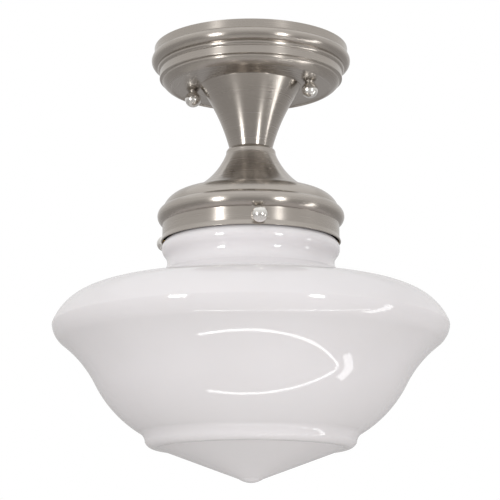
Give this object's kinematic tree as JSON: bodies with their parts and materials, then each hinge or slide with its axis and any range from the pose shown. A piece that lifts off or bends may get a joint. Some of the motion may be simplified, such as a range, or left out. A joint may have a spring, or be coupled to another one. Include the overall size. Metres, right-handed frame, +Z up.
{
  "type": "semi flush ceiling light",
  "caption": "Stepped ceiling canopy on a strap, flared stem and bell shaped glass holder with thumb screws, carrying an opal glass schoolhouse shade around one medium base lamp.",
  "frame": {"origin": "centre of the canopy's rim, on the ceiling, midway between the outlet box screws", "axes": "+Z up into the ceiling, +X along the mounting strap towards the right hand ball nut"},
  "size_m": [0.3016, 0.3016, 0.3384],
  "materials": {
    "zinc_steel": "zinc plated",
    "satin_nickel": "brushed nickel plate, clear coated",
    "bright_nickel": "polished nickel plate",
    "green_screw": "green, for ground",
    "brass": "bright",
    "porcelain": "glazed white",
    "black_insulation": "black insulation",
    "white_insulation": "white insulation",
    "connector_plastic": "orange",
    "opal_glass": "glossy opal white",
    "frosted_glass": "inside frosted",
    "lamp_metal": "bright",
    "dark_insulator": "black glass",
    "solder": "solder"
  },
  "bodies": {
    "fixture": {"mounting_strap": "zinc_steel", "canopy_studs": "zinc_steel", "stud_nuts": "zinc_steel", "ground_screw": "green_screw", "canopy": "satin_nickel", "stem_pipe": "zinc_steel", "stem_cone": "satin_nickel", "pipe_top_washer": "zinc_steel", "pipe_bottom_washer": "zinc_steel", "pipe_top_nut": "zinc_steel", "pipe_bottom_nut": "zinc_steel", "fitter": "satin_nickel", "screw_inserts": "brass", "lampholder_cap": "brass", "lampholder_body": "porcelain", "lampholder_shell": "brass", "lampholder_contact": "brass", "terminal_screws": "brass", "lead_black": "black_insulation", "lead_white": "white_insulation", "wire_connectors": "connector_plastic"},
    "canopy_nut_left": {"canopy_nut_left": "bright_nickel"},
    "canopy_nut_right": {"canopy_nut_right": "bright_nickel"},
    "thumb_screw_right": {"thumb_screw_right": "bright_nickel"},
    "thumb_screw_left": {"thumb_screw_left": "bright_nickel"},
    "thumb_screw_front": {"thumb_screw_front": "bright_nickel"},
    "shade": {"shade": "opal_glass"},
    "lamp": {"bulb_contact": "solder", "bulb_insulator": "dark_insulator", "bulb_base": "lamp_metal", "bulb_glass": "frosted_glass"}
  },
  "joints": [
    {"name": "canopy_nut_left_unscrew", "type": "slide", "parent": "fixture", "child": "canopy_nut_left", "axis": [0, 0, -1], "range_m": [0, 0.0089]},
    {"name": "canopy_nut_right_unscrew", "type": "slide", "parent": "fixture", "child": "canopy_nut_right", "axis": [0, 0, -1], "range_m": [0, 0.0089]},
    {"name": "thumb_screw_right_unscrew", "type": "slide", "parent": "fixture", "child": "thumb_screw_right", "axis": [0.6334, 0.7738, 0], "range_m": [0, 0.006]},
    {"name": "thumb_screw_left_unscrew", "type": "slide", "parent": "fixture", "child": "thumb_screw_left", "axis": [-0.9869, 0.1616, 0], "range_m": [0, 0.006]},
    {"name": "thumb_screw_front_unscrew", "type": "slide", "parent": "fixture", "child": "thumb_screw_front", "axis": [0.3535, -0.9354, 0], "range_m": [0, 0.006]},
    {"name": "shade_turn", "type": "hinge", "parent": "fixture", "child": "shade", "pos_m": [0, 0, -0.15], "axis": [0, 0, 1], "continuous": true},
    {"name": "lamp_unscrew", "type": "slide", "parent": "fixture", "child": "lamp", "axis": [0, 0, -1], "range_m": [0, 0.028]}
  ]
}
